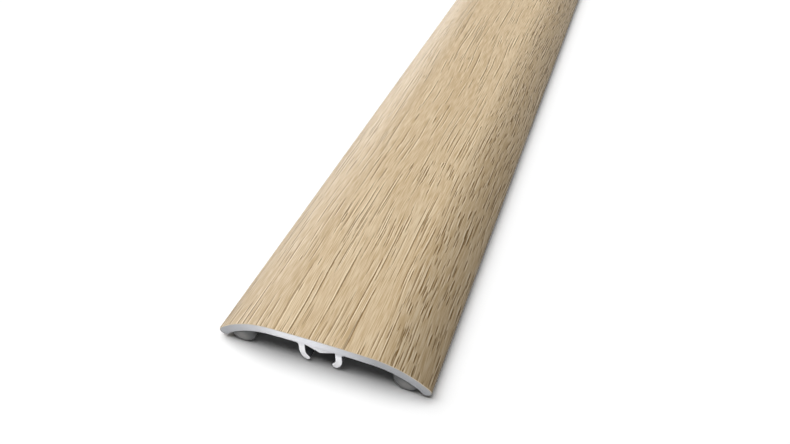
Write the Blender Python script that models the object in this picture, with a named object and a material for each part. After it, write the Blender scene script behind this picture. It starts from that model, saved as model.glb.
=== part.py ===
"""Threshold strip: an arched aluminium profile, wrapped in oak decor foil, on two adhesive beads.

Metres, +Z up. X runs across the strip, Y along it, and the strip lies on the floor plane z = 0.
Section angles are measured from +Z towards +X.
"""

import math

import bpy

# Overall sizes
STRIP_LENGTH = 0.930
STRIP_WIDTH = 0.041  # over the foil

# Arch of the aluminium profile
WALL = 0.00165
ARCH_HEIGHT = 0.00555  # bare crown above the underside of the two edges
CROWN_WIDTH = 0.0198  # the nearly flat middle of the deck
CROWN_RADIUS = 0.240

# Fixing channel under the middle of the deck
CHANNEL_WIDTH = 0.0058  # clear width between the two legs
HOOK_WALL = 0.0012
HOOK_DEPTH = 0.0041  # from the underside of the deck to the bottom of the hooks
HOOK_CURL = 0.00075  # how far a hook's tip leans in past its leg
HOOK_SWEEP = math.radians(50.0)
HOOK_FILLET = 0.0006  # outside, where a leg meets the deck
RIDGE_DEPTH = 0.00115  # the V along the channel's roof, below the underside of the deck

# Decor foil
FOIL_THICKNESS = 0.0002
GLUE_LINE = 0.0001
FOIL_TURN = 0.0004  # how far the foil runs in under each edge

# Adhesive beads
BEAD_DIAMETER = 0.005  # of the round cord before it is pressed on
BEAD_FLAT = 0.00025  # how far the cord is flattened where it lies on the floor
BEAD_PROUD = 0.0008  # how far the beads stand below the edges of the profile
BEAD_SETBACK = 0.0003  # from the cut ends of the strip
BEAD_SEAT_GAP = 0.0001
BEAD_FOIL_GAP = 0.00015
BEAD_END_ROUND = 0.0012  # length over which a bead's end is rounded off

# Facets of each round stretch
CROWN_STEPS = 6
FLANK_STEPS = 14
EDGE_STEPS = 10
TURN_STEPS = 1
FILLET_STEPS = 4
HOOK_STEPS = 6
TIP_STEPS = 6
BEAD_STEPS = 48
BEAD_END_STEPS = 4

COLLECTION = "threshold_strip"
GUIDES = "threshold_strip_guides"
QUARTER = math.pi / 2


def on_arc(centre, radius, angle):
    """The point of a circle in the section plane at an angle from +Z towards +X."""
    return centre[0] + radius * math.sin(angle), centre[1] + radius * math.cos(angle)


def arc(centre, radius, start, end, steps):
    """Points along a circle's arc, both ends included."""
    return [on_arc(centre, radius, start + (end - start) * i / steps) for i in range(steps + 1)]


def flank_radius(crown_edge, crown_angle, edge_centre, edge_radius):
    """Radius of the arc that runs on smoothly from the crown and into the rounded edge."""
    dx = crown_edge[0] - edge_centre[0]
    dz = crown_edge[1] - edge_centre[1]
    along_normal = dx * math.sin(crown_angle) + dz * math.cos(crown_angle)
    return (dx * dx + dz * dz - edge_radius**2) / (2 * (along_normal - edge_radius))


# The arch, worked out from the sizes above
EDGE_RADIUS = WALL / 2
SKIN = GLUE_LINE + FOIL_THICKNESS
CROWN_TOP = BEAD_PROUD + ARCH_HEIGHT
DECK_UNDERSIDE = CROWN_TOP - WALL
CROWN_CENTRE = (0.0, CROWN_TOP - CROWN_RADIUS)
CROWN_ANGLE = math.asin(CROWN_WIDTH / 2 / CROWN_RADIUS)
CROWN_EDGE = on_arc(CROWN_CENTRE, CROWN_RADIUS, CROWN_ANGLE)
EDGE_CENTRE = (STRIP_WIDTH / 2 - SKIN - EDGE_RADIUS, BEAD_PROUD + EDGE_RADIUS)
FLANK_RADIUS = flank_radius(CROWN_EDGE, CROWN_ANGLE, EDGE_CENTRE, EDGE_RADIUS)
FLANK_CENTRE = on_arc(CROWN_EDGE, -FLANK_RADIUS, CROWN_ANGLE)
EDGE_ANGLE = math.atan2(EDGE_CENTRE[0] - FLANK_CENTRE[0], EDGE_CENTRE[1] - FLANK_CENTRE[1])
TURN_ANGLE = EDGE_ANGLE - FOIL_TURN / (FLANK_RADIUS - WALL)


def mirrored(points):
    """The same run of points on the other side of the strip, walked the other way."""
    return [(-x, z) for x, z in reversed(points)]


def upper_side(offset):
    """Half of the profile's show face, from the crown round the edge, moved out by an offset."""
    crown = arc(CROWN_CENTRE, CROWN_RADIUS + offset, 0.0, CROWN_ANGLE, CROWN_STEPS)
    flank = arc(FLANK_CENTRE, FLANK_RADIUS + offset, CROWN_ANGLE, EDGE_ANGLE, FLANK_STEPS)
    edge = arc(EDGE_CENTRE, EDGE_RADIUS + offset, EDGE_ANGLE, EDGE_ANGLE + math.pi, EDGE_STEPS)
    return crown + flank[1:] + edge[1:]


def hook():
    """One leg of the fixing channel, down its outside, round its tip and up its inside."""
    leg = (CHANNEL_WIDTH + HOOK_WALL) / 2
    bend = HOOK_CURL / (1.0 - math.cos(HOOK_SWEEP))
    tip_height = DECK_UNDERSIDE - HOOK_DEPTH + HOOK_WALL / 2
    centre = (leg - bend, tip_height + bend * math.sin(HOOK_SWEEP))
    end = QUARTER + HOOK_SWEEP
    tip = on_arc(centre, bend, end)
    outside = arc(centre, bend + HOOK_WALL / 2, QUARTER, end, HOOK_STEPS)
    round_tip = arc(tip, HOOK_WALL / 2, end, end + math.pi, TIP_STEPS)
    inside = arc(centre, bend - HOOK_WALL / 2, end, QUARTER, HOOK_STEPS)
    return outside + round_tip[1:] + inside[1:]


def leg_fillet():
    """The round stretch between the underside of the deck and the outside of a leg."""
    x = CHANNEL_WIDTH / 2 + HOOK_WALL + HOOK_FILLET
    reach = CROWN_RADIUS - WALL - HOOK_FILLET
    start = math.asin(x / reach)
    return start, arc(on_arc(CROWN_CENTRE, reach, start), HOOK_FILLET, start, -QUARTER, FILLET_STEPS)


def profile_outline():
    """The whole section of the aluminium profile."""
    fillet_angle, fillet = leg_fillet()
    flank = arc(FLANK_CENTRE, FLANK_RADIUS - WALL, EDGE_ANGLE, CROWN_ANGLE, FLANK_STEPS)
    deck = arc(CROWN_CENTRE, CROWN_RADIUS - WALL, CROWN_ANGLE, fillet_angle, CROWN_STEPS)
    roof_corner = (CHANNEL_WIDTH / 2, DECK_UNDERSIDE)
    ridge = (0.0, DECK_UNDERSIDE - RIDGE_DEPTH)
    half = upper_side(0.0) + flank[1:] + deck[1:] + fillet[1:] + hook() + [roof_corner, ridge]
    return half + mirrored(half)[1:-1]


def foil_face(offset):
    """One face of the foil, from under the left edge over the crown to under the right edge."""
    radius = FLANK_RADIUS - WALL - offset
    half = upper_side(offset) + arc(FLANK_CENTRE, radius, EDGE_ANGLE, TURN_ANGLE, TURN_STEPS)[1:]
    return mirrored(half)[:-1] + half


def foil_outline():
    """The section of the foil, out over its show face and back along its glued face."""
    return foil_face(SKIN) + foil_face(GLUE_LINE)[::-1]


def bead_centre():
    """Middle of the right-hand bead, inboard of the foil's turned edge and flattened on the floor."""
    foil_end = on_arc(FLANK_CENTRE, FLANK_RADIUS - WALL - SKIN, TURN_ANGLE)
    x = foil_end[0] - BEAD_FOIL_GAP - BEAD_DIAMETER / 2
    return x, BEAD_DIAMETER / 2 - BEAD_FLAT


def bead_reach(centre, angle):
    """How far the pressed cord reaches from its middle: to its own skin, the floor or the profile."""
    across, up = math.sin(angle), math.cos(angle)
    floor = centre[1] / -up if up < 0.0 else math.inf
    dx = centre[0] - FLANK_CENTRE[0]
    dz = centre[1] - FLANK_CENTRE[1]
    seat = FLANK_RADIUS - WALL - BEAD_SEAT_GAP
    along = dx * across + dz * up
    profile = math.sqrt(along * along + seat * seat - dx * dx - dz * dz) - along
    return min(BEAD_DIAMETER / 2, floor, profile)


def bead_outline(side):
    """The section of a bead about its own middle, for the left (-1) or right (1) side."""
    centre = bead_centre()
    angles = [2 * math.pi * i / BEAD_STEPS for i in range(BEAD_STEPS)]
    right = [on_arc((0.0, 0.0), bead_reach(centre, angle), angle) for angle in angles]
    return right if side > 0 else mirrored(right)


def material(name, colour, roughness, metallic):
    """A plain Principled material."""
    made = bpy.data.materials.new(name)
    made.use_nodes = True
    shader = made.node_tree.nodes["Principled BSDF"]
    shader.inputs["Base Color"].default_value = (*colour, 1.0)
    shader.inputs["Roughness"].default_value = roughness
    shader.inputs["Metallic"].default_value = metallic
    return made


def new_collection(name):
    """A collection of this name, linked to the scene."""
    made = bpy.data.collections.new(name)
    bpy.context.scene.collection.children.link(made)
    return made


def closed_curve(name, outline, collection):
    """A flat closed outline as a 2D curve object, not yet filled."""
    data = bpy.data.curves.new(name, "CURVE")
    data.dimensions = "2D"
    data.fill_mode = "NONE"
    spline = data.splines.new("POLY")
    spline.points.add(len(outline) - 1)
    for point, (x, z) in zip(spline.points, outline):
        point.co = (x, z, 0.0, 1.0)
    spline.use_cyclic_u = True
    made = bpy.data.objects.new(name, data)
    collection.objects.link(made)
    return made


def extrusion(name, outline, finish, collection, parent):
    """A section drawn out along the strip's whole length."""
    made = closed_curve(name, outline, collection)
    made.data.fill_mode = "BOTH"
    made.data.extrude = STRIP_LENGTH / 2
    made.data.materials.append(finish)
    made.rotation_euler = (QUARTER, 0.0, 0.0)
    made.parent = parent
    return made


def bead_run():
    """Places along a bead and its fullness there, rounded off at both ends."""
    half = STRIP_LENGTH / 2 - BEAD_SETBACK
    rounding = [QUARTER * i / BEAD_END_STEPS for i in range(BEAD_END_STEPS + 1)]
    blunt = BEAD_END_ROUND / (BEAD_DIAMETER / 2)
    run = [
        (half - BEAD_END_ROUND * (1.0 - math.sin(turn)), 1.0 - blunt * (1.0 - math.cos(turn)))
        for turn in rounding
    ]
    return [(-y, fullness) for y, fullness in reversed(run)] + run


def bead(name, side, finish, collection, guides, parent):
    """A pressed cord of adhesive, swept along one side of the strip."""
    section = closed_curve(name + "_section", bead_outline(side), guides)
    section.hide_render = True
    section.display_type = "WIRE"
    section.parent = parent
    data = bpy.data.curves.new(name, "CURVE")
    data.dimensions = "3D"
    data.twist_mode = "Z_UP"
    data.bevel_mode = "OBJECT"
    data.bevel_object = section
    data.use_fill_caps = True
    run = bead_run()
    spline = data.splines.new("POLY")
    spline.points.add(len(run) - 1)
    for point, (y, fullness) in zip(spline.points, run):
        point.co = (0.0, y, 0.0, 1.0)
        point.radius = fullness
    data.materials.append(finish)
    made = bpy.data.objects.new(name, data)
    collection.objects.link(made)
    x, z = bead_centre()
    made.location = (side * x, 0.0, z)
    made.parent = parent
    return made


def main():
    """Builds the strip in an empty scene."""
    for existing in list(bpy.data.objects):
        bpy.data.objects.remove(existing, do_unlink=True)
    parts = new_collection(COLLECTION)
    guides = new_collection(GUIDES)
    frame = bpy.data.objects.new("threshold_strip_frame", None)
    parts.objects.link(frame)
    aluminium = material("extruded_aluminium", (0.66, 0.66, 0.67), 0.38, 1.0)
    oak_foil = material("printed_oak_foil", (0.61, 0.45, 0.27), 0.45, 0.0)
    butyl = material("grey_butyl", (0.33, 0.33, 0.34), 0.45, 0.0)
    extrusion("aluminium_profile", profile_outline(), aluminium, parts, frame)
    extrusion("oak_decor_foil", foil_outline(), oak_foil, parts, frame)
    bead("adhesive_bead_left", -1, butyl, parts, guides, frame)
    bead("adhesive_bead_right", 1, butyl, parts, guides, frame)


main()
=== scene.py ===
"""Looks of a threshold strip: oak decor foil over an arched aluminium profile on two butyl beads.

Metres, +Z up. X runs across the strip and Y along it, and the sawn end that the camera sees is at -Y.
Section angles are measured from +Z towards +X.
"""

import logging
import math
from dataclasses import dataclass
from enum import Enum
from typing import Any, Callable

import bmesh
import bpy
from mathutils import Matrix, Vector, noise


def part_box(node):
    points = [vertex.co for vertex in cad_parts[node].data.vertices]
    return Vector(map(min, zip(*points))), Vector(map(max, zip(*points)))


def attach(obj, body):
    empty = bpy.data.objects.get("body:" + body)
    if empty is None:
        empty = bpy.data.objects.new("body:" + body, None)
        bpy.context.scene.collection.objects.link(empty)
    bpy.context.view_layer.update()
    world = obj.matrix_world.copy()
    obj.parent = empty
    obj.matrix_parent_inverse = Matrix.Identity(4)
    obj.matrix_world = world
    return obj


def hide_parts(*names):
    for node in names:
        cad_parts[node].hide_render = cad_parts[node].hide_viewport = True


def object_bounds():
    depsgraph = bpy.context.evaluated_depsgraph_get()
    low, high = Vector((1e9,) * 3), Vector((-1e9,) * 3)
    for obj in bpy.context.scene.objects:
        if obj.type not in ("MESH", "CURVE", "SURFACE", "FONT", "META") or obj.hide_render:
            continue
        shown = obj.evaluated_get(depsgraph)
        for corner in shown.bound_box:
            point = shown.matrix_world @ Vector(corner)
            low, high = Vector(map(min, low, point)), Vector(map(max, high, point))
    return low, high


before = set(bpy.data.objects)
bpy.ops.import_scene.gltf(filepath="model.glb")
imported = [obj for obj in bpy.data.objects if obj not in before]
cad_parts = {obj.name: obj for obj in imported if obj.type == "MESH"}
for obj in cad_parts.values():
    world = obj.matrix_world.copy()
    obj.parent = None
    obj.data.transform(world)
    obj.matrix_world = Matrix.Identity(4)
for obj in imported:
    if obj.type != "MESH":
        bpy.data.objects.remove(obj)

CAD_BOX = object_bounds()
BODY = "root"
MM = 0.001
QUARTER = math.pi / 2
END_FACING = 0.9  # a face whose normal has more of Y than this lies on a cut end
PHOTO_WIDTH = 790
LOG = logging.getLogger("threshold_strip")

Point = tuple[float, float]
Colour = tuple[float, float, float, float]


class Side(Enum):
    """The two sides of the strip, as signs of X."""

    LEFT = -1
    RIGHT = 1


class Finish(Enum):
    """The record's material slots."""

    ALUMINIUM = "extruded_aluminium"
    OAK_FOIL = "printed_oak_foil"
    BUTYL = "grey_butyl"


def linear(hex_colour: str) -> Colour:
    """Turns an sRGB hex value into linear light.

    Args:
        hex_colour: six hex digits after a hash sign.

    Returns:
        Linear red, green and blue, and an alpha of 1.
    """
    parts = [int(hex_colour[i : i + 2], 16) / 255 for i in (1, 3, 5)]
    red, green, blue = (p / 12.92 if p <= 0.04045 else ((p + 0.055) / 1.055) ** 2.4 for p in parts)
    return red, green, blue, 1.0


def add(tree: bpy.types.NodeTree, kind: str, inputs: dict | None = None, **settings: Any) -> Any:
    """Adds a node with its settings and links.

    Args:
        tree: the node tree to add it to.
        kind: Blender's name of the node.
        inputs: socket name or number, with the value or the output socket that it takes.
        settings: properties of the node itself.

    Returns:
        The new node.
    """
    made = tree.nodes.new(kind)
    for name, value in settings.items():
        setattr(made, name, value)
    for key, value in (inputs or {}).items():
        if isinstance(value, bpy.types.NodeSocket):
            tree.links.new(value, made.inputs[key])
        else:
            made.inputs[key].default_value = value
    return made


def new_material(name: str) -> tuple[bpy.types.Material, bpy.types.NodeTree, Any]:
    """Starts a node material.

    Args:
        name: what the real material is.

    Returns:
        The material, its node tree and its Principled shader.
    """
    made = bpy.data.materials.new(name)
    made.use_nodes = True
    return made, made.node_tree, made.node_tree.nodes["Principled BSDF"]


def on_arc(centre: Point, radius: float, angle: float) -> Point:
    """The point of a circle in the section plane at an angle from +Z towards +X."""
    return centre[0] + radius * math.sin(angle), centre[1] + radius * math.cos(angle)


def select(mesh: bpy.types.Mesh, domain: str, wanted: Callable[[Any], bool]) -> None:
    """Selects what is wanted in edit mode, and nothing else.

    Args:
        mesh: the mesh in edit mode.
        domain: verts, edges or faces.
        wanted: says whether an element is selected.
    """
    modes = {"verts": "VERT", "edges": "EDGE", "faces": "FACE"}
    bpy.ops.mesh.select_mode(type=modes[domain])
    bpy.ops.mesh.select_all(action="DESELECT")
    edited = bmesh.from_edit_mesh(mesh)
    for element in getattr(edited, domain):
        element.select_set(bool(wanted(element)))
    edited.select_flush_mode()
    bmesh.update_edit_mesh(mesh)


def select_end(mesh: bpy.types.Mesh, y: float) -> None:
    """Selects the faces of a cut end in edit mode.

    Args:
        mesh: the mesh in edit mode.
        y: where the end lies.
    """
    select(
        mesh,
        "faces",
        lambda f: abs(f.normal.y) > END_FACING and abs(f.calc_center_median().y - y) < MM,
    )


class SectionPen:
    """Draws half of a section in the XZ plane, vertex after vertex, from a plane merged to one point."""

    def __init__(self, name: str, start: Point, y: float) -> None:
        """Starts the line.

        Args:
            name: the piece's name.
            start: where the line starts, as X and Z.
            y: the cut end in which the section lies.
        """
        bpy.ops.object.select_all(action="DESELECT")
        bpy.ops.mesh.primitive_plane_add(size=MM)
        self.piece: bpy.types.Object = bpy.context.object
        self.piece.name = name
        self.piece.data.name = name
        self.y = y
        self.at = start
        bpy.ops.object.mode_set(mode="EDIT")
        bpy.ops.mesh.select_mode(type="VERT")
        bpy.ops.mesh.select_all(action="SELECT")
        bpy.ops.mesh.merge(type="CENTER")
        bpy.ops.transform.translate(value=(start[0], y, start[1]))

    def run_to(self, point: Point) -> None:
        """Extrudes the line straight on to a point.

        Args:
            point: where it goes, as X and Z.
        """
        step = (point[0] - self.at[0], 0.0, point[1] - self.at[1])
        bpy.ops.mesh.extrude_vertices_move(TRANSFORM_OT_translate={"value": step})
        self.at = point

    def sweep(self, centre: Point, turn: float, steps: int) -> None:
        """Spins the line on round a centre.

        Args:
            centre: the middle of the arc, as X and Z.
            turn: the angle swept, from +Z towards +X.
            steps: how many edges the arc gets.
        """
        middle = (centre[0], self.y, centre[1])
        bpy.ops.mesh.spin(steps=steps, angle=-turn, center=middle, axis=(0.0, 1.0, 0.0))
        dx, dz = self.at[0] - centre[0], self.at[1] - centre[1]
        self.at = on_arc(centre, math.hypot(dx, dz), math.atan2(dx, dz) + turn)

    def finish(self) -> bpy.types.Object:
        """Mirrors the half section across X = 0.

        Returns:
            The piece, in object mode, with the whole section's line as its mesh.
        """
        bpy.ops.object.mode_set(mode="OBJECT")
        mirror = self.piece.modifiers.new("other_half", "MIRROR")
        mirror.use_axis = (True, False, False)
        mirror.use_mirror_merge = True
        mirror.merge_threshold = 0.005 * MM
        bpy.ops.object.modifier_apply(modifier=mirror.name)
        return self.piece


@dataclass
class ArchSection:
    """The arch that profile, foil and beads share, in metres."""

    width: float = 41.0 * MM
    wall: float = 1.57 * MM
    arch_height: float = 5.55 * MM
    crown_width: float = 19.8 * MM
    crown_radius: float = 240.0 * MM
    skin: float = 0.3 * MM
    # The metal is drawn up to this far below the show face, so that the glue line leaves no dark gap.
    foil_edge: float = 0.2 * MM
    turn_in: float = 0.4 * MM
    bead_proud: float = 0.8 * MM
    crown_steps: int = 24
    flank_steps: int = 44
    nose_steps: int = 28
    turn_steps: int = 3

    def __post_init__(self) -> None:
        """Works out the arcs that run smoothly from the crown into the rounded edges."""
        self.edge_radius = self.wall / 2
        self.crown_top = self.bead_proud + self.arch_height
        self.underside = self.crown_top - self.wall
        self.crown_centre = (0.0, self.crown_top - self.crown_radius)
        self.crown_angle = math.asin(self.crown_width / 2 / self.crown_radius)
        self.edge_centre = (
            self.width / 2 - self.skin - self.edge_radius,
            self.bead_proud + self.edge_radius,
        )
        corner = on_arc(self.crown_centre, self.crown_radius, self.crown_angle)
        dx, dz = corner[0] - self.edge_centre[0], corner[1] - self.edge_centre[1]
        along = dx * math.sin(self.crown_angle) + dz * math.cos(self.crown_angle)
        reach = dx * dx + dz * dz - self.edge_radius**2
        self.flank_radius = reach / (2 * (along - self.edge_radius))
        self.flank_centre = on_arc(corner, -self.flank_radius, self.crown_angle)
        self.edge_angle = math.atan2(
            self.edge_centre[0] - self.flank_centre[0], self.edge_centre[1] - self.flank_centre[1]
        )
        self.turn_angle = self.edge_angle - self.turn_in / (self.flank_radius - self.wall)
        self.nose_centre = on_arc(self.edge_centre, (self.skin - self.foil_edge) / 2, self.edge_angle)

    def draw_upper(self, pen: SectionPen) -> None:
        """Draws the wrapped face from the crown round the edge to the underside.

        Args:
            pen: the pen, set down on the middle of the crown.
        """
        pen.sweep(self.crown_centre, self.crown_angle, self.crown_steps)
        pen.sweep(self.flank_centre, self.edge_angle - self.crown_angle, self.flank_steps)
        pen.sweep(self.nose_centre, math.pi, self.nose_steps)


@dataclass
class AluminiumProfile:
    """The extrusion: deck, two hooked legs and the ridge along the roof of the channel between them."""

    section: ArchSection
    channel_width: float = 5.8 * MM
    hook_wall: float = 1.2 * MM
    hook_depth: float = 4.1 * MM
    hook_curl: float = 0.75 * MM
    hook_sweep: float = math.radians(50.0)
    hook_fillet: float = 0.6 * MM
    ridge_depth: float = 1.15 * MM
    root_radius: float = 0.25 * MM
    ridge_radius: float = 0.08 * MM
    saw_bevel: float = 0.05 * MM
    roof_steps: int = 10
    fillet_steps: int = 8
    hook_outer_steps: int = 14
    hook_tip_steps: int = 16
    hook_inner_steps: int = 12

    def draw(self, y: float) -> bpy.types.Object:
        """Draws the section's line.

        Args:
            y: the cut end in which it lies.

        Returns:
            The piece, with the closed line as its mesh.
        """
        arch = self.section
        pen = SectionPen("aluminium_extrusion", (0.0, arch.crown_top + arch.skin - arch.foil_edge), y)
        arch.draw_upper(pen)
        pen.sweep(arch.flank_centre, arch.crown_angle - arch.edge_angle, arch.flank_steps)
        fillet_x = self.channel_width / 2 + self.hook_wall + self.hook_fillet
        reach = arch.crown_radius - arch.wall - self.hook_fillet
        fillet_angle = math.asin(fillet_x / reach)
        pen.sweep(arch.crown_centre, fillet_angle - arch.crown_angle, self.roof_steps)
        fillet_centre = on_arc(arch.crown_centre, reach, fillet_angle)
        pen.sweep(fillet_centre, -QUARTER - fillet_angle, self.fillet_steps)
        leg = (self.channel_width + self.hook_wall) / 2
        bend = self.hook_curl / (1.0 - math.cos(self.hook_sweep))
        tip_height = arch.underside - self.hook_depth + self.hook_wall / 2
        centre = (leg - bend, tip_height + bend * math.sin(self.hook_sweep))
        pen.run_to((leg + self.hook_wall / 2, centre[1]))
        pen.sweep(centre, self.hook_sweep, self.hook_outer_steps)
        tip = on_arc(centre, bend, QUARTER + self.hook_sweep)
        pen.sweep(tip, math.pi, self.hook_tip_steps)
        pen.sweep(centre, -self.hook_sweep, self.hook_inner_steps)
        pen.run_to((self.channel_width / 2, arch.underside))
        pen.run_to((0.0, arch.underside - self.ridge_depth))
        return pen.finish()

    def build(self) -> bpy.types.Object:
        """Draws the section, rounds its inner corners and pushes it out along the strip.

        Returns:
            The finished mesh, before its finish.
        """
        low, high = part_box("aluminium_profile")
        piece = self.draw(low.y)
        mesh = piece.data
        roof = self.section.underside
        bpy.ops.object.mode_set(mode="EDIT")
        self.round_corners(mesh, (self.channel_width / 2, roof), self.root_radius)
        self.round_corners(mesh, (0.0, roof - self.ridge_depth), self.ridge_radius)
        bpy.ops.mesh.select_all(action="SELECT")
        bpy.ops.mesh.edge_face_add()
        bpy.ops.mesh.extrude_region_move(TRANSFORM_OT_translate={"value": (0.0, high.y - low.y, 0.0)})
        for end in (low.y, high.y):
            select_end(mesh, end)
            bpy.ops.mesh.region_to_loop()
            bpy.ops.mesh.bevel(offset=self.saw_bevel, segments=2, affect="EDGES")
        bpy.ops.mesh.select_all(action="SELECT")
        bpy.ops.mesh.normals_make_consistent(inside=False)
        bpy.ops.object.mode_set(mode="OBJECT")
        return piece

    def round_corners(self, mesh: bpy.types.Mesh, corner: Point, radius: float) -> None:
        """Rounds the section's corners at a place and at its mirror image.

        Args:
            mesh: the section's line, in edit mode.
            corner: the corner on the right, as X and Z.
            radius: how far the rounding reaches along the line.
        """
        near = 0.01 * MM
        select(
            mesh,
            "verts",
            lambda v: abs(abs(v.co.x) - corner[0]) < near and abs(v.co.z - corner[1]) < near,
        )
        bpy.ops.mesh.bevel(offset=radius, segments=5, affect="VERTICES")

    def dress(self, piece: bpy.types.Object) -> None:
        """Gives the drawn faces and the sawn ends their finishes, and the inside of the channel darker
        metal as painted shade.

        Args:
            piece: the finished mesh.
        """
        # Painted shade: the inside of the channel gets darker metal, where shade falls under the deck.
        inside = MillAluminium("extruded_aluminium_painted_channel_shade", bright="#6E7073", dull="#54565A")
        for finish in (MillAluminium(), SawnAluminium(), inside):
            piece.data.materials.append(finish.build())
        for face in piece.data.polygons:
            sawn = abs(face.normal.y) > END_FACING
            face.material_index = 1 if sawn else 2 if self.in_channel(face) else 0
        finish_piece(piece, "aluminium_profile", math.radians(25.0))

    def in_channel(self, face: bpy.types.MeshPolygon) -> bool:
        """Says whether a face looks into the channel: its roof, or a leg's side that faces the other leg.

        Args:
            face: a face of the profile.

        Returns:
            True inside the channel. The undersides of the hooks look down and aren't part of it.
        """
        place, normal = face.center, face.normal
        within = abs(place.x) < self.channel_width / 2 + 0.1 * MM
        roof = place.z > self.section.underside - 1.2 * self.ridge_depth
        inward = place.x * normal.x < 0.0 and normal.z > -0.1
        return within and (roof or inward)


@dataclass(frozen=True)
class BakeColumn:
    """Where the faces of half the foil lie in the OFBake map, as shares of the map's width."""

    margin: float = 0.005
    show_width: float = 0.42
    inner_at: float = 0.43
    inner_width: float = 0.02
    left_edge_at: float = 0.455
    right_edge_at: float = 0.47
    sawn_edge_at: float = 0.485
    edge_width: float = 0.006


@dataclass
class OakFoil:
    """The decor foil that wraps the show face and turns in under both edges."""

    section: ArchSection
    column: BakeColumn = BakeColumn()
    thickness: float = 0.19 * MM
    fringe: float = 0.03 * MM
    nick_width: float = 0.5 * MM
    edge_roll: float = 0.3 * MM
    edge_drop: float = 0.02 * MM

    def build(self) -> bpy.types.Object:
        """Draws the foil's show face, pulls it out along the strip and gives it its thickness.

        Returns:
            The finished mesh, before its finish.
        """
        arch = self.section
        low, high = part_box("oak_decor_foil")
        pen = SectionPen("oak_foil_wrap", (0.0, arch.crown_top + arch.skin), low.y)
        arch.draw_upper(pen)
        pen.sweep(arch.flank_centre, arch.turn_angle - arch.edge_angle, arch.turn_steps)
        piece = pen.finish()
        mesh = piece.data
        bpy.ops.object.mode_set(mode="EDIT")
        bpy.ops.mesh.select_all(action="SELECT")
        half = (high.y - low.y) / 2 - self.edge_roll
        for run in (self.edge_roll, half, half, self.edge_roll):
            bpy.ops.mesh.extrude_region_move(TRANSFORM_OT_translate={"value": (0.0, run, 0.0)})
        bpy.ops.mesh.select_all(action="SELECT")
        bpy.ops.mesh.normals_make_consistent(inside=False)
        bpy.ops.object.mode_set(mode="OBJECT")
        self.face_upwards(piece)
        self.map_grain(mesh)
        self.fray(mesh, low.y, high.y)
        shown = len(mesh.vertices)
        wall = piece.modifiers.new("foil_thickness", "SOLIDIFY")
        wall.thickness = self.thickness
        wall.offset = -1.0
        wall.use_even_offset = True
        wall.use_rim = True
        bpy.ops.object.modifier_apply(modifier=wall.name)
        self.map_bake(mesh, shown)
        return piece

    def map_bake(self, mesh: bpy.types.Mesh, shown: int) -> None:
        """Lays the foil out in two long columns of the OFBake map, wide across the grain to keep pores
        sharp.

        Args:
            mesh: the finished foil.
            shown: how many of its vertices lie on the show face; those of the inner face follow them.
        """
        column = self.column
        grain = mesh.uv_layers["grain"].data
        spots = [tuple(grain[loop.index].uv) for loop in mesh.loops]
        width = 2 * max(u for u, _ in spots)
        length = 2 * max(v for _, v in spots)
        layer = mesh.uv_layers.new(name="OFBake", do_init=False)
        for face in mesh.polygons:
            start = 0.5 if face.center.y > 0.0 else 0.0
            inner = all(corner >= shown for corner in face.vertices)
            rim = self.on_rim(face, shown)
            sawn = rim and abs(face.normal.y) > 0.7
            for loop in face.loop_indices:
                u, v = spots[loop]
                across = u / width + 0.5
                along = 2 * (v / length + 0.5) - 2 * start
                deep = column.edge_width if mesh.loops[loop].vertex_index >= shown else 0.0
                if sawn:
                    x = column.sawn_edge_at + deep
                    along = across
                elif rim:
                    x = (column.left_edge_at if u < 0.0 else column.right_edge_at) + deep
                elif inner:
                    x = column.inner_at + column.inner_width * across
                else:
                    x = column.margin + column.show_width * across
                y = column.margin + (1 - 2 * column.margin) * along
                layer.data[loop].uv = (start + x, y)

    def on_rim(self, face: bpy.types.MeshPolygon, shown: int) -> bool:
        """Says whether a face joins the show face, the first vertices, to the inner one, the rest."""
        return len({corner < shown for corner in face.vertices}) == 2

    def face_upwards(self, piece: bpy.types.Object) -> None:
        """Turns the open sheet over if its show face looks down.

        Args:
            piece: the open sheet.
        """
        if sum(f.normal.z * f.area for f in piece.data.polygons) < 0.0:
            bpy.ops.object.mode_set(mode="EDIT")
            bpy.ops.mesh.select_all(action="SELECT")
            bpy.ops.mesh.flip_normals()
            bpy.ops.object.mode_set(mode="OBJECT")

    def map_grain(self, mesh: bpy.types.Mesh) -> None:
        """Lays the print out flat: metres round the section and metres along the strip.

        Args:
            mesh: the open sheet.
        """
        edge = min(v.co.y for v in mesh.vertices)
        ends = [v for v in mesh.vertices if abs(v.co.y - edge) < 0.1 * MM]
        follow: dict[int, list[int]] = {v.index: [] for v in ends}
        for a, b in (e.vertices for e in mesh.edges):
            if a in follow and b in follow:
                follow[a].append(b)
                follow[b].append(a)
        tips = [i for i in follow if len(follow[i]) == 1]
        at = min(tips, key=lambda i: mesh.vertices[i].co.x)
        before = None
        run: dict[tuple[int, int], float] = {}
        total = 0.0
        while at is not None:
            run[self.key(mesh.vertices[at].co)] = total
            onward = [i for i in follow[at] if i != before]
            before = at
            at = onward[0] if onward else None
            if at is not None:
                total += (mesh.vertices[at].co - mesh.vertices[before].co).length
        layer = mesh.uv_layers.new(name="grain")
        for loop in mesh.loops:
            place = mesh.vertices[loop.vertex_index].co
            layer.data[loop.index].uv = (run[self.key(place)] - total / 2, place.y)

    def key(self, place: Vector) -> tuple[int, int]:
        """A section point's name, the same at both ends of the strip."""
        return round(place.x * 1e6), round(place.z * 1e6)

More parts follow.
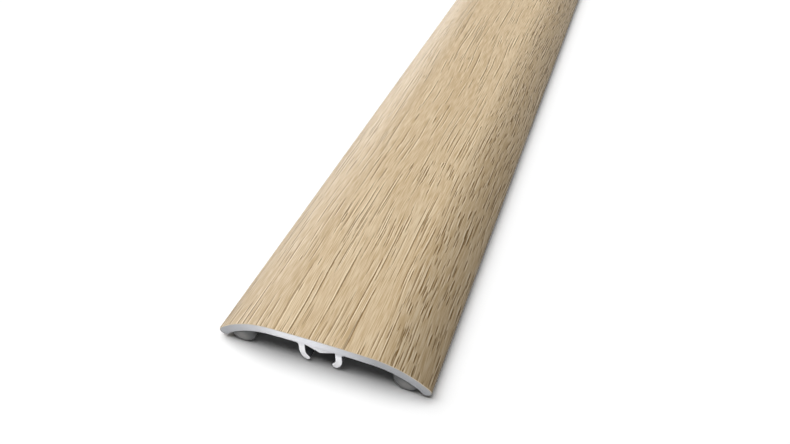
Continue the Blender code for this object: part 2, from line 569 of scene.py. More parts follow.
    def fray(self, mesh: bpy.types.Mesh, front: float, back: float) -> None:
        """Leaves the two sawn edges of the foil slightly ragged and rolled over, inside the strip's length.

        Args:
            mesh: the open sheet.
            front: where the near end is.
            back: where the far end is.
        """
        near = 0.5 * self.edge_roll
        sawn = [v for v in mesh.vertices if v.co.y < front + near or v.co.y > back - near]
        drops = [v.normal * self.edge_drop for v in sawn]
        for vertex, drop in zip(sawn, drops):
            place = Vector((vertex.co.x / self.nick_width, vertex.co.z / self.nick_width, vertex.co.y))
            nick = self.fringe * max(0.2, 0.5 + noise.noise(place))
            vertex.co -= drop
            vertex.co.y += nick if vertex.co.y < 0.0 else -nick

    def dress(self, piece: bpy.types.Object) -> None:
        """Gives the two faces of the foil the print, and the rim between them the foil's core.

        Args:
            piece: the finished mesh, whose first half of vertices is the show face.
        """
        piece.data.materials.append(PrintedOak().build())
        piece.data.materials.append(FoilCore().build())
        shown = len(piece.data.vertices) // 2
        for face in piece.data.polygons:
            face.material_index = int(self.on_rim(face, shown))
        finish_piece(piece, "oak_decor_foil", math.radians(40.0))


@dataclass
class ButylBead:
    """A round cord of butyl, pressed against one flank and lying on the floor."""

    section: ArchSection
    side: Side
    diameter: float = 5.0 * MM
    section_steps: int = 72
    seat_gap: float = 0.05 * MM
    seat_from: float = math.radians(15.0)
    seat_step: float = math.radians(3.5)
    seat_cuts: int = 9
    flat: float = 0.25 * MM
    sole_radius: float = 1.8 * MM
    sole_cuts: int = 9
    dome: float = 1.0 * MM
    # The dome's axis lies this far outward of the cord's middle and above the floor.
    dome_axis: Point = (0.9 * MM, 1.6 * MM)
    dome_turn: float = math.radians(85.0)
    dome_steps: int = 9
    bluntness: float = 0.5
    bulge: float = 0.25 * MM
    lump: float = 0.05 * MM
    lump_width: float = 3.0 * MM
    lump_length: float = 9.0 * MM
    rings: int = 100

    @property
    def node(self) -> str:
        """The CAD node that the bead stands for."""
        return f"adhesive_bead_{self.side.name.lower()}"

    def build(self) -> bpy.types.Object:
        """Cuts a round section to the floor and the flank, pulls it out and rounds its ends.

        Returns:
            The finished mesh, before its finish.
        """
        low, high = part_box(self.node)
        sign = self.side.value
        outer = max(abs(low.x), abs(high.x))
        inner = min(abs(low.x), abs(high.x))
        centre = (inner + self.diameter / 2, self.diameter / 2 - self.flat)
        front = low.y - self.bulge + self.dome
        back = high.y + self.bulge - self.dome
        bpy.ops.object.select_all(action="DESELECT")
        bpy.ops.mesh.primitive_circle_add(
            vertices=self.section_steps,
            radius=self.diameter / 2,
            fill_type="NGON",
            location=(sign * centre[0], front, centre[1]),
            rotation=(QUARTER, 0.0, 0.0),
        )
        piece = bpy.context.object
        piece.name = f"butyl_bead_{self.side.name.lower()}"
        piece.data.name = piece.name
        bpy.ops.object.transform_apply(location=True, rotation=True, scale=True)
        bpy.ops.object.mode_set(mode="EDIT")
        self.round_sole((sign * centre[0], centre[1]), front)
        seat = self.section.flank_radius - self.section.wall - self.seat_gap
        for step in range(self.seat_cuts):
            angle = self.seat_from + self.seat_step * step
            place = on_arc(self.section.flank_centre, seat, angle)
            normal = on_arc((0.0, 0.0), 1.0, angle)
            self.cut((sign * place[0], place[1]), (sign * normal[0], normal[1]), front)
        bpy.ops.mesh.select_all(action="SELECT")
        bpy.ops.mesh.extrude_region_move(TRANSFORM_OT_translate={"value": (0.0, back - front, 0.0)})
        bpy.ops.mesh.select_all(action="SELECT")
        bpy.ops.mesh.normals_make_consistent(inside=False)
        aside, height = self.dome_axis
        for end, way in ((front, -1.0), (back, 1.0)):
            self.round_end(piece.data, Vector((sign * (centre[0] + aside), end, height)), way)
        long_run = 0.5 * (back - front)
        select(piece.data, "edges", lambda e: e.calc_length() > long_run)
        bpy.ops.mesh.subdivide(number_cuts=self.rings)
        bpy.ops.object.mode_set(mode="OBJECT")
        self.swell(piece.data)
        LOG.info("%s: section from %.2f to %.2f mm", piece.name, inner / MM, outer / MM)
        return piece

    def round_sole(self, centre: Point, y: float) -> None:
        """Trims the section to the floor and rounds it beside the flat on which it lies.

        Args:
            centre: the middle of the round section.
            y: the plane of the section.
        """
        reach = self.diameter / 2 - self.sole_radius
        rise = centre[1] - self.sole_radius
        aside = math.sqrt(reach**2 - rise**2)
        for step in range(-self.sole_cuts, self.sole_cuts + 1):
            turn = math.atan2(aside, rise) * step / self.sole_cuts
            middle = (centre[0] + math.copysign(aside, turn), self.sole_radius)
            place = on_arc(middle, self.sole_radius, math.pi - turn)
            normal = on_arc((0.0, 0.0), 1.0, math.pi - turn)
            self.cut(place, normal, y)

    def round_end(self, mesh: bpy.types.Mesh, centre: Vector, way: float) -> None:
        """Draws an end of the cord out into a blunt dome, ring after ring.

        Args:
            mesh: the cord, in edit mode.
            centre: where the dome's axis leaves the end face.
            way: the sign of Y in which the dome points.
        """
        select_end(mesh, centre.y)
        turns = [self.dome_turn * step / self.dome_steps for step in range(self.dome_steps + 1)]
        for before, turn in zip(turns, turns[1:]):
            step = way * self.dome * (math.sin(turn) - math.sin(before))
            bpy.ops.mesh.extrude_region_move(TRANSFORM_OT_translate={"value": (0.0, step, 0.0)})
            shrink = (math.cos(turn) / math.cos(before)) ** self.bluntness
            bpy.ops.transform.resize(value=(shrink, 1.0, shrink), center_override=centre)

    def cut(self, place: Point, normal: Point, y: float) -> None:
        """Trims the section along a line.

        Args:
            place: a point of the line, as X and Z.
            normal: the side that is cut away.
            y: the plane of the section.
        """
        bpy.ops.mesh.select_all(action="SELECT")
        bpy.ops.mesh.bisect(
            plane_co=(place[0], y, place[1]),
            plane_no=(normal[0], 0.0, normal[1]),
            clear_outer=True,
            use_fill=False,
            threshold=1e-7,
        )

    def swell(self, mesh: bpy.types.Mesh) -> None:
        """Makes the cord slightly uneven along its length, where it touches nothing.

        Args:
            mesh: the finished cord.
        """
        for vertex in mesh.vertices:
            place = vertex.co
            free = max(0.0, min(1.0, place.z / self.section.bead_proud))
            sizes = (self.lump_width, self.lump_length, self.lump_width)
            spot = Vector([at / size for at, size in zip(place, sizes)])
            # Noise less 0.6 is nearly always negative, so the lumps hardly grow beyond the round section.
            amount = self.lump * free * (noise.noise(spot) - 0.6)
            vertex.co += vertex.normal * amount

    def dress(self, piece: bpy.types.Object, finish: bpy.types.Material) -> None:
        """Gives the cord its butyl finish."""
        piece.data.materials.append(finish)
        finish_piece(piece, self.node, math.radians(50.0))


def finish_piece(piece: bpy.types.Object, node: str, crease: float) -> None:
    """Smooths a piece and puts it in the place of its CAD node.

    Args:
        piece: the finished piece.
        node: the CAD node that it replaces.
        crease: edges sharper than this angle stay sharp.
    """
    bpy.ops.object.select_all(action="DESELECT")
    piece.select_set(True)
    bpy.context.view_layer.objects.active = piece
    bpy.ops.object.shade_smooth_by_angle(angle=crease)
    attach(piece, BODY)
    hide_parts(node)
    LOG.info("%s stands for %s, %d faces", piece.name, node, len(piece.data.polygons))


@dataclass(frozen=True)
class Pores:
    """One kind of pore in the print: the room that each has and half its width, in mm, and its share."""

    across: float
    along: float
    half_width: float
    share: float
    flank_share: float
    depth: float
    seed: float


@dataclass(frozen=True)
class PrintedOak:
    """PVC foil with a light oak print, its pores pressed in by a calender: satin, with dark thin pores, a
    painted highlight beside each, and painted shade on the flanks.
    """

    pale: str = "#E0CBA9"
    middle: str = "#D2B994"
    dark: str = "#C2A77E"
    pore: str = "#705218"
    # Painted highlight beside each pore, on one side.
    painted_pore_highlight: str = "#FFEBCB"
    roughness: float = 0.45
    gloss: float = 0.35
    pores: tuple[Pores, ...] = (
        Pores(0.95, 66.0, half_width=0.165, share=1.0, flank_share=0.65, depth=0.95, seed=7.6),
        Pores(0.85, 34.0, half_width=0.155, share=0.75, flank_share=0.5, depth=0.95, seed=52.2),
        Pores(0.65, 15.0, half_width=0.145, share=0.14, flank_share=0.75, depth=0.95, seed=23.8),
        Pores(0.6, 7.0, half_width=0.155, share=0.05, flank_share=0.9, depth=1.0, seed=11.9),
    )
    # A patch of short flecks near the sawn end: its middle, across and along, and its radius, in mm.
    fleck_patch: tuple[float, float, float] = (4.0, -411.0, 6.0)
    # In mm from the middle. Painted shade darkens the print from the start on, and its pores change up to
    # the end.
    flank_start: float = 9.0
    flank_end: float = 13.0
    painted_flank_shade: float = 0.066
    painted_shade_curve: float = 0.6

    def build(self) -> bpy.types.Material:
        """Makes the material.

        Returns:
            The print with its embossed pores.
        """
        made, tree, shader = new_material("printed_oak_foil_satin")
        flow, flat = self.grain_flow(tree)
        colour = self.ground(tree, flow)
        dents: Any = 0.0
        for kind in self.pores:
            dark, light = self.pore_masks(tree, flow, flat, kind)
            for mask, tint in ((light, self.painted_pore_highlight), (dark, self.pore)):
                inputs = {0: mask, 6: colour, 7: linear(tint)}
                colour = add(tree, "ShaderNodeMix", inputs, data_type="RGBA").outputs[2]
            dents = add(tree, "ShaderNodeMath", {0: dents, 1: dark}, operation="MAXIMUM").outputs[0]
        tree.links.new(self.paint_flank_shade(tree, colour, flat), shader.inputs["Base Color"])
        tree.links.new(self.emboss(tree, flow, dents), shader.inputs["Normal"])
        shader.inputs["Roughness"].default_value = self.roughness
        shader.inputs["Specular IOR Level"].default_value = self.gloss
        return made

    def paint_flank_shade(self, tree: bpy.types.NodeTree, colour: Any, flat: Any) -> Any:
        """Paints shade on the flanks: darker than the crown, more so towards the edges.

        Args:
            tree: the material's node tree.
            colour: the print's colour.
            flat: the print's true coordinates in mm.

        Returns:
            The colour, with painted shade where the arch falls away.
        """
        tone = add(tree, "ShaderNodeSeparateXYZ", {0: flat}).outputs[0]
        for operation, value, plus in (
            ("ABSOLUTE", 0.0, 0.0),
            ("SUBTRACT", self.flank_start, 0.0),
            ("MAXIMUM", 0.0, 0.0),
            ("POWER", self.painted_shade_curve, 0.0),
            ("MULTIPLY_ADD", -self.painted_flank_shade, 1.0),
        ):
            tone = add(tree, "ShaderNodeMath", {0: tone, 1: value, 2: plus}, operation=operation).outputs[0]
        inputs = {0: 1.0, 6: colour, 7: tone}
        return add(tree, "ShaderNodeMix", inputs, data_type="RGBA", blend_type="MULTIPLY").outputs[2]

    def stretched(
        self, tree: bpy.types.NodeTree, flow: Any, width: float, length: float, detail: float
    ) -> Any:
        """Noise drawn out along the grain.

        Args:
            tree: the material's node tree.
            flow: the print's coordinates in mm.
            width: size of a feature across the grain, in mm.
            length: size of a feature along the grain, in mm.
            detail: how many finer octaves it has.

        Returns:
            The noise, about 0.5 on average.
        """
        scale = {0: flow, 1: (1 / width, 1 / length, 1.0)}
        place = add(tree, "ShaderNodeVectorMath", scale, operation="MULTIPLY")
        inputs = {"Vector": place.outputs[0], "Scale": 1.0, "Detail": detail}
        return add(tree, "ShaderNodeTexNoise", inputs, noise_dimensions="2D").outputs[0]

    def grain_flow(self, tree: bpy.types.NodeTree) -> tuple[Any, Any]:
        """The print's own coordinates.

        Args:
            tree: the material's node tree.

        Returns:
            The coordinates in mm, drawn slightly wavy across the grain, and the true ones.
        """
        flat = add(tree, "ShaderNodeUVMap", uv_map="grain").outputs[0]
        size = add(tree, "ShaderNodeVectorMath", {0: flat, 1: (1 / MM, 1 / MM, 1.0)}, operation="MULTIPLY")
        parts = add(tree, "ShaderNodeSeparateXYZ", {0: size.outputs[0]})
        across = parts.outputs[0]
        for width, length, sway in ((26.0, 80.0, 3.4), (6.0, 22.0, 0.9)):
            wave = self.stretched(tree, size.outputs[0], width, length, 1.0)
            shift = add(tree, "ShaderNodeMath", {0: wave, 1: 0.5}, operation="SUBTRACT").outputs[0]
            inputs = {0: shift, 1: sway, 2: across}
            across = add(tree, "ShaderNodeMath", inputs, operation="MULTIPLY_ADD").outputs[0]
        wavy = add(tree, "ShaderNodeCombineXYZ", {0: across, 1: parts.outputs[1]}).outputs[0]
        return wavy, size.outputs[0]

    def ground(self, tree: bpy.types.NodeTree, flow: Any) -> Any:
        """The colour of the wood between its pores: faint broad bands and fine streaks along the grain.

        Args:
            tree: the material's node tree.
            flow: the print's coordinates in mm.

        Returns:
            The colour.
        """
        tone: Any = 0.0
        for width, length, weight in ((9.0, 150.0, 0.12), (1.3, 30.0, 0.18), (0.2, 4.5, 0.55)):
            streak = self.stretched(tree, flow, width, length, 2.0)
            inputs = {0: streak, 1: weight, 2: tone}
            tone = add(tree, "ShaderNodeMath", inputs, operation="MULTIPLY_ADD").outputs[0]
        ramp = add(tree, "ShaderNodeValToRGB", {0: tone})
        ramp.color_ramp.elements[0].position = 0.33
        ramp.color_ramp.elements[0].color = linear(self.dark)
        ramp.color_ramp.elements[1].position = 0.52
        ramp.color_ramp.elements[1].color = linear(self.pale)
        ramp.color_ramp.elements.new(0.425).color = linear(self.middle)
        return ramp.outputs[0]

    def pore_masks(self, tree: bpy.types.NodeTree, flow: Any, flat: Any, kind: Pores) -> tuple[Any, Any]:
        """Long thin pores, each with a painted highlight on one side; short ones crowd the right flank and
        a patch.

        Args:
            tree: the material's node tree.
            flow: the print's wavy coordinates in mm.
            flat: the print's true coordinates in mm.
            kind: sizes of these pores.

        Returns:
            Masks of the dark pores and of their painted highlights.
        """
        inputs = {0: flow, 1: (1 / kind.across, 1 / kind.along, 1.0), 2: (kind.seed, kind.seed, 0.0)}
        place = add(tree, "ShaderNodeVectorMath", inputs, operation="MULTIPLY_ADD").outputs[0]
        cells = add(tree, "ShaderNodeTexVoronoi", {"Vector": place, "Scale": 1.0}, voronoi_dimensions="2D")
        chance = add(tree, "ShaderNodeSeparateColor", {0: cells.outputs["Color"]})
        there = self.kept(tree, flat, chance.outputs[1], kind)
        # Each pore has a strength and a width of its own, and a ragged outline.
        inputs = {0: chance.outputs[2], 3: 0.5 * kind.depth, 4: kind.depth}
        strength = add(tree, "ShaderNodeMapRange", inputs).outputs[0]
        shown = add(tree, "ShaderNodeMath", {0: there, 1: strength}, operation="MULTIPLY").outputs[0]
        half = kind.half_width / kind.across
        inputs = {0: chance.outputs[0], 3: 0.7 * half, 4: 1.3 * half}
        size = add(tree, "ShaderNodeMapRange", inputs).outputs[0]
        ragged = self.stretched(tree, flow, 0.25, 1.8, 1.0)
        inputs = {0: ragged, 1: 0.8 * half, 2: cells.outputs["Distance"]}
        reach = add(tree, "ShaderNodeMath", inputs, operation="MULTIPLY_ADD").outputs[0]
        reach = add(tree, "ShaderNodeMath", {0: reach, 1: 0.4 * half}, operation="SUBTRACT").outputs[0]
        dark = self.fade(tree, reach, size, 0.5)
        # The painted highlight lies to the right of most pores and to the left of the others.
        inputs = {0: chance.outputs[2], 1: 0.7}
        side = add(tree, "ShaderNodeMath", inputs, operation="GREATER_THAN").outputs[0]
        shift = add(tree, "ShaderNodeMapRange", {0: side, 3: 1.5 * half, 4: -1.5 * half}).outputs[0]
        shift = add(tree, "ShaderNodeCombineXYZ", {0: shift}).outputs[0]
        inputs = {0: cells.outputs["Position"], 1: shift}
        beside = add(tree, "ShaderNodeVectorMath", inputs, operation="ADD").outputs[0]
        inputs = {0: place, 1: beside}
        apart = add(tree, "ShaderNodeVectorMath", inputs, operation="DISTANCE").outputs["Value"]
        light = self.fade(tree, apart, size, 0.4)
        masks = []
        for mask, weight in ((dark, 1.0), (light, 0.85)):
            mask = add(tree, "ShaderNodeMath", {0: mask, 1: shown}, operation="MULTIPLY").outputs[0]
            masks.append(add(tree, "ShaderNodeMath", {0: mask, 1: weight}, operation="MULTIPLY").outputs[0])
        return masks[0], masks[1]

    def fade(self, tree: bpy.types.NodeTree, distance: Any, size: Any, core: float) -> Any:
        """A soft spot.

        Args:
            tree: the material's node tree.
            distance: the distance from the middle of the spot.
            size: where the spot ends.
            core: the share of the spot that is full.

        Returns:
            1 in the spot's core and 0 outside it.
        """
        inner = add(tree, "ShaderNodeMath", {0: size, 1: core}, operation="MULTIPLY").outputs[0]
        inputs = {0: distance, 1: inner, 2: size, 3: 1.0, 4: 0.0}
        return add(tree, "ShaderNodeMapRange", inputs, interpolation_type="SMOOTHSTEP").outputs[0]

    def kept(self, tree: bpy.types.NodeTree, flat: Any, chance: Any, kind: Pores) -> Any:
        """Picks the pores that are there.

        Args:
            tree: the material's node tree.
            flat: the print's true coordinates in mm.
            chance: a random number for each pore.
            kind: sizes and shares of these pores.

        Returns:
            1 for a pore that is there and 0 for one that is left out.
        """
        across = add(tree, "ShaderNodeSeparateXYZ", {0: flat}).outputs[0]
        inputs = {0: across, 1: self.flank_start, 2: self.flank_end, 3: kind.share, 4: kind.flank_share}
        share = add(tree, "ShaderNodeMapRange", inputs).outputs[0]
        x, y, radius = self.fleck_patch
        inputs = {0: flat, 1: (x, y, 0.0)}
        apart = add(tree, "ShaderNodeVectorMath", inputs, operation="DISTANCE").outputs["Value"]
        more = 0.8 if kind.share < 0.3 else 0.0
        inputs = {0: apart, 1: 0.4 * radius, 2: radius, 3: more, 4: 0.0}
        patch = add(tree, "ShaderNodeMapRange", inputs).outputs[0]
        share = add(tree, "ShaderNodeMath", {0: share, 1: patch}, operation="ADD").outputs[0]
        return add(tree, "ShaderNodeMath", {0: chance, 1: share}, operation="LESS_THAN").outputs[0]

    def emboss(self, tree: bpy.types.NodeTree, flow: Any, dents: Any) -> Any:
        """The relief of the calender: pores pressed in and fine fibres between them.

        Args:
            tree: the material's node tree.
            flow: the print's coordinates in mm.
            dents: mask of the pores.

        Returns:
            The bent normal.
        """
        fibres = self.stretched(tree, flow, 0.3, 3.0, 2.0)
        inputs = {0: fibres, 1: 0.35, 2: 1.0}
        height = add(tree, "ShaderNodeMath", inputs, operation="MULTIPLY_ADD").outputs[0]
        height = add(tree, "ShaderNodeMath", {0: height, 1: dents}, operation="SUBTRACT").outputs[0]
        inputs = {"Height": height, "Strength": 0.4, "Distance": 0.06 * MM}
        return add(tree, "ShaderNodeBump", inputs).outputs[0]


@dataclass(frozen=True)
class FoilCore:
    """PVC foil and hot-melt sawn through with the metal: a pale satin line along the print.

    The blade drags a film of aluminium over the plastic, so the edge shines as the metal beside it does.
    It is grey below: metal smeared by the blade, and painted shade under the tips.
    """

    pale: str = "#E2D8C6"
    stained: str = "#C8BCA6"
    # Grey below the tips: smeared metal and painted shade.
    smear_and_shade: str = "#9A9A9C"
    smear_and_shade_low: float = 1.3 * MM
    smear_and_shade_top: float = 2.2 * MM
    stain_size: float = 0.9 * MM

    def build(self) -> bpy.types.Material:
        """Makes the material.

        Returns:
            The pale edge with its stains, and the grey below that is smear and painted shade.
        """
        made, tree, shader = new_material("sawn_pvc_foil_edge")
        place = add(tree, "ShaderNodeTexCoord")
        inputs = {"Vector": place.outputs["Object"], "Scale": 1 / self.stain_size, "Detail": 3.0}
        stain = add(tree, "ShaderNodeTexNoise", inputs)
        inputs = {0: stain.outputs[0], 6: linear(self.pale), 7: linear(self.stained)}
        colour = add(tree, "ShaderNodeMix", inputs, data_type="RGBA")
        height = add(tree, "ShaderNodeSeparateXYZ", {0: place.outputs["Object"]})
        inputs = {0: height.outputs["Z"], 1: self.smear_and_shade_low, 2: self.smear_and_shade_top, 3: 1.0, 4: 0.0}
        smear_and_shade_mask = add(tree, "ShaderNodeMapRange", inputs)
        inputs = {0: smear_and_shade_mask.outputs[0], 6: colour.outputs[2], 7: linear(self.smear_and_shade)}
        colour = add(tree, "ShaderNodeMix", inputs, data_type="RGBA")
        tree.links.new(colour.outputs[2], shader.inputs["Base Color"])
        shader.inputs["Metallic"].default_value = 1.0
        shader.inputs["Roughness"].default_value = 0.65
        return made


@dataclass(frozen=True)
class MillAluminium:
    """Extruded aluminium as it leaves the die: grey metal with a soft gloss and fine lengthwise lines."""

    name: str = "extruded_aluminium_mill_finish"
    bright: str = "#A3A5A8"
    dull: str = "#85878A"
    line_spacing: float = 0.12 * MM
    line_length: float = 90.0 * MM
    smoothest: float = 0.34
    roughest: float = 0.5

    def build(self) -> bpy.types.Material:
        """Makes the material.

        Returns:
            The drawn metal with its die lines.
        """
        made, tree, shader = new_material(self.name)
        place = add(tree, "ShaderNodeTexCoord")
        scale = (1 / self.line_spacing, 1 / self.line_length, 1 / self.line_spacing)
        inputs = {0: place.outputs["Object"], 1: scale}
        drawn = add(tree, "ShaderNodeVectorMath", inputs, operation="MULTIPLY")
        lines = add(tree, "ShaderNodeTexNoise", {"Vector": drawn.outputs[0], "Scale": 1.0, "Detail": 3.0})
        inputs = {0: lines.outputs[0], 6: linear(self.dull), 7: linear(self.bright)}
        colour = add(tree, "ShaderNodeMix", inputs, data_type="RGBA")
        tree.links.new(colour.outputs[2], shader.inputs["Base Color"])
        inputs = {0: lines.outputs[0], 3: self.smoothest, 4: self.roughest}
        gloss = add(tree, "ShaderNodeMapRange", inputs)
        tree.links.new(gloss.outputs[0], shader.inputs["Roughness"])
        inputs = {"Height": lines.outputs[0], "Strength": 0.3, "Distance": 0.01 * MM}
        bump = add(tree, "ShaderNodeBump", inputs)
        tree.links.new(bump.outputs[0], shader.inputs["Normal"])
        shader.inputs["Metallic"].default_value = 1.0
        return made


@dataclass(frozen=True)
class SawnAluminium:
    """Aluminium cut by a circular saw: brighter than the drawn faces, with shallow arcs from the teeth.

    It has a painted highlight a little left of the middle and on the hooks, and painted shade towards both
    edges.
    """

    bright: str = "#EDEDF0"
    dull: str = "#DEDFE3"
    painted_shade: str = "#AEAFB2"
    # Painted highlight: the hooks are paler than the rest of the sawn face.
    hooks: str = "#F6F6F8"
    hook_root: float = 4.6 * MM
    hook_fade: float = 0.8 * MM
    hook_reach: float = 6.0 * MM
    painted_highlight_at: float = -4.0 * MM
    painted_highlight_reach: float = 3.0 * MM
    painted_shade_reach: float = 14.5 * MM
    blade_radius: float = 150.0 * MM
    tooth_mark: float = 0.3 * MM

    def build(self) -> bpy.types.Material:
        """Makes the material.

        Returns:
            The cut metal with its saw marks.
        """
        made, tree, shader = new_material("sawn_aluminium")
        place = add(tree, "ShaderNodeTexCoord")
        parts = add(tree, "ShaderNodeSeparateXYZ", {0: place.outputs["Object"]})
        flat = add(tree, "ShaderNodeCombineXYZ", {0: parts.outputs[0], 1: parts.outputs[2]})
        # The blade's middle lies up to the left, and its marks are rings round it.
        inputs = {0: flat.outputs[0], 1: (-0.6 * self.blade_radius, 0.8 * self.blade_radius, 0.0)}
        reach = add(tree, "ShaderNodeVectorMath", inputs, operation="DISTANCE")
        inputs = {0: reach.outputs["Value"], 1: 1 / self.tooth_mark}
        turns = add(tree, "ShaderNodeMath", inputs, operation="MULTIPLY")
        inputs = {"W": turns.outputs[0], "Scale": 1.0, "Detail": 3.0}
        marks = add(tree, "ShaderNodeTexNoise", inputs, noise_dimensions="1D")
        inputs = {0: marks.outputs[0], 6: linear(self.dull), 7: linear(self.bright)}
        colour = add(tree, "ShaderNodeMix", inputs, data_type="RGBA")
        # Painted highlight a little left of the middle, and painted shade towards both edges.
        off = add(tree, "ShaderNodeMath", {0: parts.outputs[0], 1: -self.painted_highlight_at}, operation="ADD")
        off = add(tree, "ShaderNodeMath", {0: off.outputs[0]}, operation="ABSOLUTE")
        inputs = {0: off.outputs[0], 1: self.painted_highlight_reach, 2: self.painted_shade_reach}
        painted_shade_mask = add(tree, "ShaderNodeMapRange", inputs)
        inputs = {0: painted_shade_mask.outputs[0], 6: colour.outputs[2], 7: linear(self.painted_shade)}
        painted_shade = add(tree, "ShaderNodeMix", inputs, data_type="RGBA")
        # Painted highlight on the hooks, below the deck.
        hook_low = self.hook_root - self.hook_fade
        inputs = {0: parts.outputs[2], 1: hook_low, 2: self.hook_root, 3: 1.0, 4: 0.0}
        below = add(tree, "ShaderNodeMapRange", inputs)
        inputs = {0: parts.outputs[0], 1: 0.0, 2: self.hook_reach}
        near = add(tree, "ShaderNodeMath", inputs, operation="COMPARE")
        inputs = {0: below.outputs[0], 1: near.outputs[0]}
        painted_hook_highlight = add(tree, "ShaderNodeMath", inputs, operation="MULTIPLY")
        inputs = {0: painted_hook_highlight.outputs[0], 6: painted_shade.outputs[2], 7: linear(self.hooks)}
        lit = add(tree, "ShaderNodeMix", inputs, data_type="RGBA")
        tree.links.new(lit.outputs[2], shader.inputs["Base Color"])
        inputs = {"Height": marks.outputs[0], "Strength": 0.35, "Distance": 0.02 * MM}
        bump = add(tree, "ShaderNodeBump", inputs)
        tree.links.new(bump.outputs[0], shader.inputs["Normal"])
        shader.inputs["Metallic"].default_value = 1.0
        shader.inputs["Roughness"].default_value = 0.68
        return made


@dataclass(frozen=True)
class GreyButyl:
    """Butyl mastic, pressed out as a cord: grey, tacky and so half glossy, with a painted highlight on its
    cut ends.
    """

    dark: str = "#8A8B8D"
    light: str = "#A4A5A7"
    cloud_size: float = 1.5 * MM
    # Painted highlight: the cut ends are paler in the middle.
    cut: str = "#DCDAD7"
    highlight_centre: tuple[float, float, float] = (15.7 * MM, 465.0 * MM, 1.5 * MM)
    highlight_core: float = 0.5 * MM
    highlight_reach: float = 1.8 * MM

    def build(self) -> bpy.types.Material:
        """Makes the material.

        Returns:
            The mastic with its dimples.
        """
        made, tree, shader = new_material("grey_butyl_mastic")
        place = add(tree, "ShaderNodeTexCoord")
        inputs = {"Vector": place.outputs["Object"], "Scale": 1 / self.cloud_size, "Detail": 4.0}
        cloud = add(tree, "ShaderNodeTexNoise", inputs)
        inputs = {0: cloud.outputs[0], 6: linear(self.dark), 7: linear(self.light)}
        colour = add(tree, "ShaderNodeMix", inputs, data_type="RGBA")
        # Painted highlight on the cut ends: absolute coordinates make one place stand for all four cut
        # ends.
        folded = add(tree, "ShaderNodeVectorMath", {0: place.outputs["Object"]}, operation="ABSOLUTE")
        inputs = {0: folded.outputs[0], 1: self.highlight_centre}
        apart = add(tree, "ShaderNodeVectorMath", inputs, operation="DISTANCE")
        inputs = {0: apart.outputs["Value"], 1: self.highlight_core, 2: self.highlight_reach, 3: 1.0, 4: 0.0}
        core = add(tree, "ShaderNodeMapRange", inputs)
        inputs = {0: core.outputs[0], 6: colour.outputs[2], 7: linear(self.cut)}
        colour = add(tree, "ShaderNodeMix", inputs, data_type="RGBA")
        tree.links.new(colour.outputs[2], shader.inputs["Base Color"])
        inputs = {"Height": cloud.outputs[0], "Strength": 0.25, "Distance": 0.08 * MM}
        bump = add(tree, "ShaderNodeBump", inputs)
        tree.links.new(bump.outputs[0], shader.inputs["Normal"])
        shader.inputs["Roughness"].default_value = 0.42
        return made


@dataclass(frozen=True)
class SoftLamp:
    """A broad soft lamp far away: where it is from the strip, how wide it looks and how bright it is."""

    name: str
    towards: tuple[float, float, float]
    spread: float
    level: float
    gloss_only: bool = False


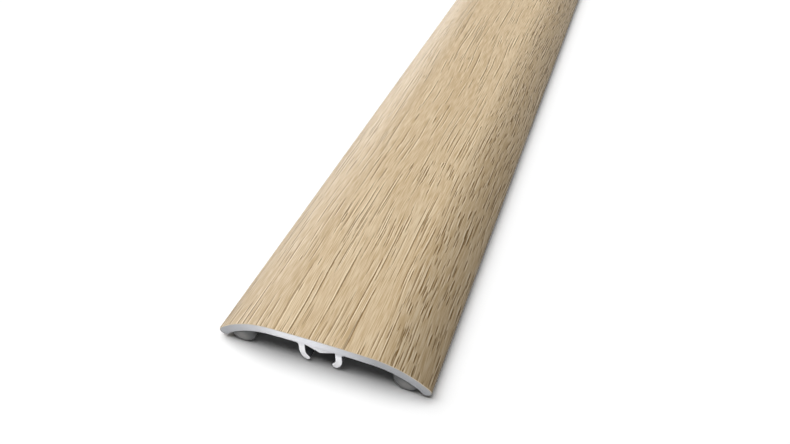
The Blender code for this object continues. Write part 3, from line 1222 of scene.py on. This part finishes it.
@dataclass
class Studio:
    """Pale floor, soft light from above and from the left, and a camera at the photograph's angle."""

    near_end: float
    floor_size: float = 8.0
    sky: float = 0.015
    floor_seen: float = 1.2
    floor_bounce: float = 0.35
    lamps: tuple[SoftLamp, ...] = (
        SoftLamp("soft_top", (-0.16, 0.13, 1.0), math.radians(58.0), 1.90),
        SoftLamp("soft_left", (-1.2, 0.32, 1.0), math.radians(44.0), 1.29),
        SoftLamp("front_fill", (0.9, -0.8, 0.7), math.radians(70.0), 0.10),
        # A white panel low on the left, which shows only as shine.
        SoftLamp("left_shine", (-0.9, 0.34, 0.24), math.radians(84.0), 4.1, gloss_only=True),
    )
    camera_from_end: tuple[float, float, float] = (36.2 * MM, -61.7 * MM, 95.5 * MM)
    camera_pitch: float = math.radians(41.19)
    camera_turn: float = math.radians(19.88)
    focal_px: float = 651.0

    def build(self) -> None:
        """Sets up floor, light and camera."""
        self.lay_floor()
        self.light()
        self.place_camera()
        bpy.context.scene.view_settings.view_transform = "Standard"

    def seen(self, tree: bpy.types.NodeTree) -> bpy.types.NodeSocket:
        """1 for what the camera sees directly, in metal or through glass, and 0 for light that bounces.

        Args:
            tree: the node tree of the floor or the sky.

        Returns:
            The socket that says which it is.
        """
        path = add(tree, "ShaderNodeLightPath")
        seen = path.outputs["Is Camera Ray"]
        for name in ("Is Glossy Ray", "Is Transmission Ray"):
            inputs = {0: seen, 1: path.outputs[name]}
            seen = add(tree, "ShaderNodeMath", inputs, operation="MAXIMUM").outputs[0]
        inputs = {0: path.outputs["Diffuse Depth"], 1: 0.5}
        direct = add(tree, "ShaderNodeMath", inputs, operation="LESS_THAN").outputs[0]
        return add(tree, "ShaderNodeMath", {0: seen, 1: direct}, operation="MULTIPLY").outputs[0]

    def lay_floor(self) -> None:
        """Lays a large pale floor that keeps the strip's shadow."""
        bpy.ops.object.select_all(action="DESELECT")
        bpy.ops.mesh.primitive_plane_add(size=self.floor_size)
        floor = bpy.context.object
        floor.name = "studio_floor"
        made, tree, shader = new_material("matt_white_floor")
        inputs = {0: self.seen(tree), 3: self.floor_bounce, 4: self.floor_seen}
        tone = add(tree, "ShaderNodeMapRange", inputs)
        matt = add(tree, "ShaderNodeBsdfDiffuse", {"Color": tone.outputs[0]})
        tree.links.new(matt.outputs[0], tree.nodes["Material Output"].inputs["Surface"])
        tree.nodes.remove(shader)
        floor.data.materials.append(made)

    def light(self) -> None:
        """Lights the strip with the soft lamps and a faint even sky, which looks white."""
        world = bpy.data.worlds.new("studio_sky")
        bpy.context.scene.world = world
        world.use_nodes = True
        tree = world.node_tree
        strength = add(tree, "ShaderNodeMapRange", {0: self.seen(tree), 3: self.sky, 4: 1.0})
        tree.links.new(strength.outputs[0], tree.nodes["Background"].inputs["Strength"])
        tree.nodes["Background"].inputs["Color"].default_value = (1.0, 1.0, 1.0, 1.0)
        for lamp in self.lamps:
            bpy.ops.object.light_add(type="SUN", location=lamp.towards)
            made = bpy.context.object
            made.name = lamp.name
            made.data.energy = lamp.level
            made.data.angle = lamp.spread
            made.visible_glossy = lamp.gloss_only
            made.visible_diffuse = not lamp.gloss_only
            made.rotation_euler = (-Vector(lamp.towards)).to_track_quat("-Z", "Y").to_euler()

    def place_camera(self) -> None:
        """Puts the camera where the photograph was taken from."""
        data = bpy.data.cameras.new("photo_camera")
        data.sensor_width = 36.0
        data.lens = self.focal_px / PHOTO_WIDTH * data.sensor_width
        data.clip_start = 0.005
        data.clip_end = 50.0
        camera = bpy.data.objects.new("photo_camera", data)
        bpy.context.scene.collection.objects.link(camera)
        x, y, z = self.camera_from_end
        camera.location = (x, self.near_end + y, z)
        camera.rotation_euler = (QUARTER - self.camera_pitch, 0.0, self.camera_turn)
        bpy.context.scene.camera = camera


def main() -> None:
    """Builds the strip's pieces in order, dresses them and sets up the studio."""
    logging.basicConfig(level=logging.INFO, format="%(message)s")
    arch = ArchSection()
    profile = AluminiumProfile(arch)
    profile.dress(profile.build())
    foil = OakFoil(arch)
    foil.dress(foil.build())
    butyl = GreyButyl().build()
    for side in Side:
        bead = ButylBead(arch, side)
        bead.dress(bead.build(), butyl)
    Studio(near_end=CAD_BOX[0][1]).build()


if __name__ == "__main__":
    main()
